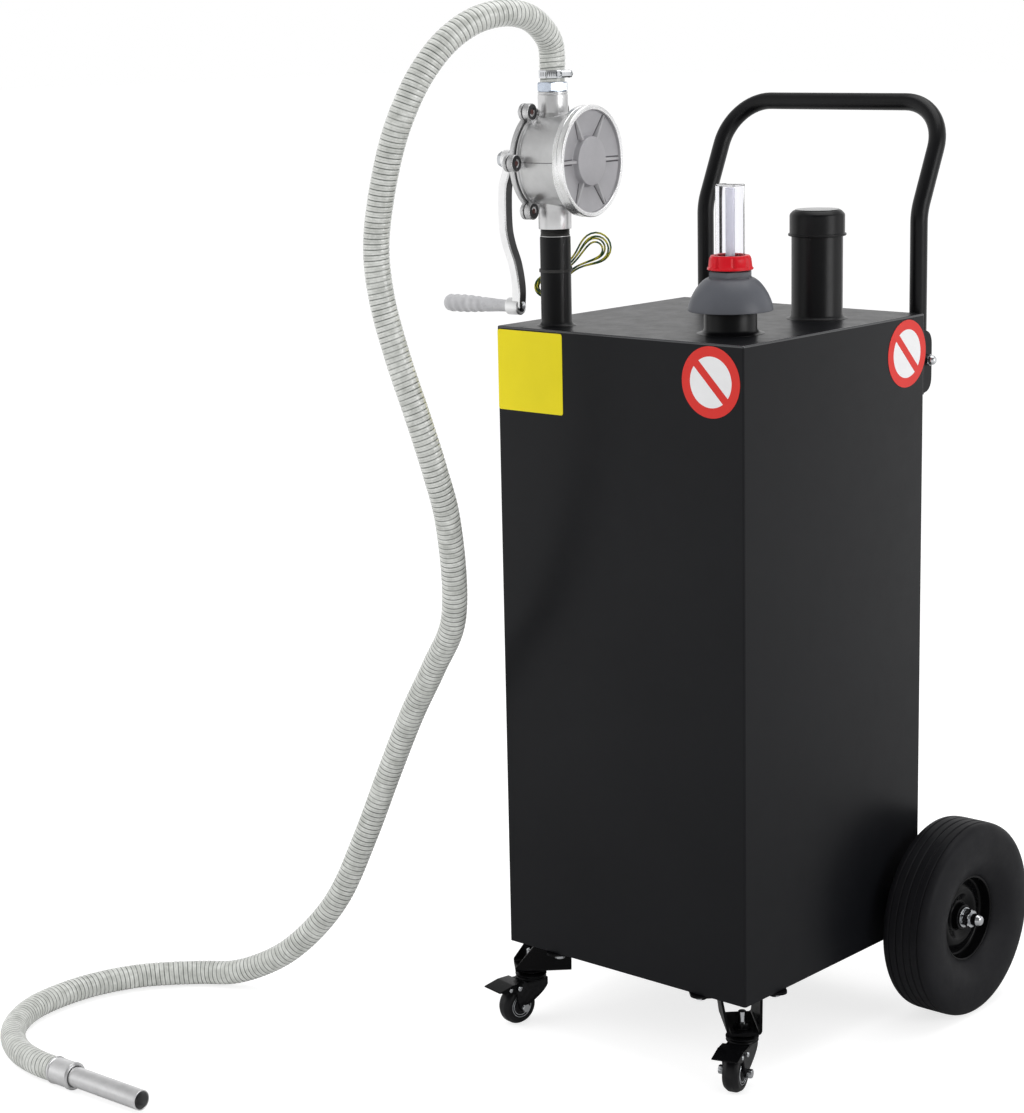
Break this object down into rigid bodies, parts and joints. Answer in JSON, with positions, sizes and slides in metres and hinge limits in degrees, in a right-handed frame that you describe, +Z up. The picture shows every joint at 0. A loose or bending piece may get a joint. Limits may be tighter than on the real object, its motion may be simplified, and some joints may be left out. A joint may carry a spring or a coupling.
{
  "type": "fuel caddy",
  "caption": "Wheeled square steel fuel tank with rotary hand pump, crank, level gauge, capped filler, push handle, braked front casters and a long clear delivery hose with a nozzle.",
  "frame": {"origin": "on the floor, under the middle of the caddy without its hose and earth wire", "axes": "+Z up, -Y the front with the casters, +Y the rear with the push handle and big wheels, +X to the right seen from the front"},
  "size_m": [0.9787, 1.0485, 1.3077],
  "materials": {
    "black_paint": "satin black powder coat",
    "cast_aluminium": "as cast with machined faces",
    "zinc": "bright zinc plate",
    "rubber": "matt black rubber",
    "black_plastic": "matt",
    "grey_plastic": "fine satin moulding",
    "red_plastic": "gloss",
    "clear_plastic": "clear moulding",
    "hose_plastic": "milky, with a wire helix in its wall",
    "wire_cover": "green and yellow"
  },
  "bodies": {
    "caddy": {"tank_wrap": "black_paint", "tank_lid": "black_paint", "tank_bottom": "black_paint", "suction_riser": "black_paint", "pump_nipple": "black_plastic", "dip_tube": "zinc", "filler_neck": "black_paint", "gauge_neck": "black_paint", "gauge_dome": "grey_plastic", "gauge_ring_nut": "red_plastic", "sight_tube": "clear_plastic", "indicator_guide": "clear_plastic", "gauge_hanger": "zinc", "handle": "black_paint", "axle": "zinc", "pump_body": "cast_aluminium", "pump_gasket": "black_plastic", "pump_cover": "cast_aluminium", "packing_nut": "zinc", "hose_barb": "zinc", "hose_clamp": "zinc", "hose": "hose_plastic", "hose_ferrule": "cast_aluminium", "nozzle_tube": "cast_aluminium", "wire_tie": "black_plastic", "earth_wire": "wire_cover", "handle_bracket_left": "black_paint", "handle_bolt_left": "zinc", "axle_bracket_left": "black_paint", "axle_washer_left": "zinc", "axle_nut_left": "zinc", "caster_bracket_left": "black_paint", "caster_stem_left": "zinc", "handle_bracket_right": "black_paint", "handle_bolt_right": "zinc", "axle_bracket_right": "black_paint", "axle_washer_right": "zinc", "axle_nut_right": "zinc", "caster_bracket_right": "black_paint", "caster_stem_right": "zinc"},
    "wheel_left": {"tyre_left": "rubber", "rim_left": "black_paint"},
    "wheel_right": {"tyre_right": "rubber", "rim_right": "black_paint"},
    "caster_left": {"caster_fork_left": "black_paint", "caster_bolt_left": "zinc"},
    "caster_left_wheel": {"caster_wheel_left": "rubber"},
    "brake_left": {"brake_pedal_left": "black_paint"},
    "caster_right": {"caster_fork_right": "black_paint", "caster_bolt_right": "zinc"},
    "caster_right_wheel": {"caster_wheel_right": "rubber"},
    "brake_right": {"brake_pedal_right": "black_paint"},
    "crank": {"pump_rotor": "zinc", "crank_arm": "cast_aluminium", "grip_pin": "zinc"},
    "grip": {"crank_grip": "cast_aluminium"},
    "cap": {"filler_cap": "black_paint"},
    "float": {"float_arm": "zinc", "gauge_float": "black_plastic"},
    "indicator": {"indicator_rod": "grey_plastic"}
  },
  "joints": [
    {"name": "wheel_left_spin", "type": "hinge", "parent": "caddy", "child": "wheel_left", "pos_m": [-0.22671, 0.15587, 0.1275], "axis": [1, 0, 0], "continuous": true},
    {"name": "wheel_right_spin", "type": "hinge", "parent": "caddy", "child": "wheel_right", "pos_m": [0.25629, 0.15587, 0.1275], "axis": [1, 0, 0], "continuous": true},
    {"name": "caster_left_swivel", "type": "hinge", "parent": "caddy", "child": "caster_left", "pos_m": [-0.15671, -0.21723, 0.07], "axis": [0, 0, 1], "continuous": true},
    {"name": "caster_left_roll", "type": "hinge", "parent": "caster_left", "child": "caster_left_wheel", "pos_m": [-0.16129, -0.24079, 0.025], "axis": [0.9816, -0.1908, 0], "continuous": true},
    {"name": "brake_left_press", "type": "hinge", "parent": "caster_left", "child": "brake_left", "pos_m": [-0.16295, -0.24933, 0.0532], "axis": [0.9816, -0.1908, 0], "range_deg": [0, 12]},
    {"name": "caster_right_swivel", "type": "hinge", "parent": "caddy", "child": "caster_right", "pos_m": [0.18629, -0.21723, 0.07], "axis": [0, 0, 1], "continuous": true},
    {"name": "caster_right_roll", "type": "hinge", "parent": "caster_right", "child": "caster_right_wheel", "pos_m": [0.1933, -0.24018, 0.025], "axis": [0.9563, 0.2924, 0], "continuous": true},
    {"name": "brake_right_press", "type": "hinge", "parent": "caster_right", "child": "brake_right", "pos_m": [0.19585, -0.2485, 0.0532], "axis": [0.9563, 0.2924, 0], "range_deg": [0, 12]},
    {"name": "crank_turn", "type": "hinge", "parent": "caddy", "child": "crank", "pos_m": [-0.11371, -0.19273, 1.115], "axis": [0.995, 0.1002, 0], "continuous": true},
    {"name": "grip_spin", "type": "hinge", "parent": "crank", "child": "grip", "pos_m": [-0.11371, -0.19273, 0.9335], "axis": [0.995, 0.1002, 0], "continuous": true},
    {"name": "cap_lift", "type": "slide", "parent": "caddy", "child": "cap", "axis": [0, 0, 1], "range_m": [0, 0.045]},
    {"name": "float_swing", "type": "hinge", "parent": "caddy", "child": "float", "pos_m": [0.13959, -0.14393, 0.5108], "axis": [0, 1, 0], "range_deg": [0, 70]},
    {"name": "indicator_rise", "type": "slide", "parent": "caddy", "child": "indicator", "axis": [0, 0, 1], "range_m": [0, 0.0308]}
  ],
  "couplings": [
    {"joint": "indicator_rise", "follows": "float_swing", "m_per_rad": 0.0252}
  ]
}
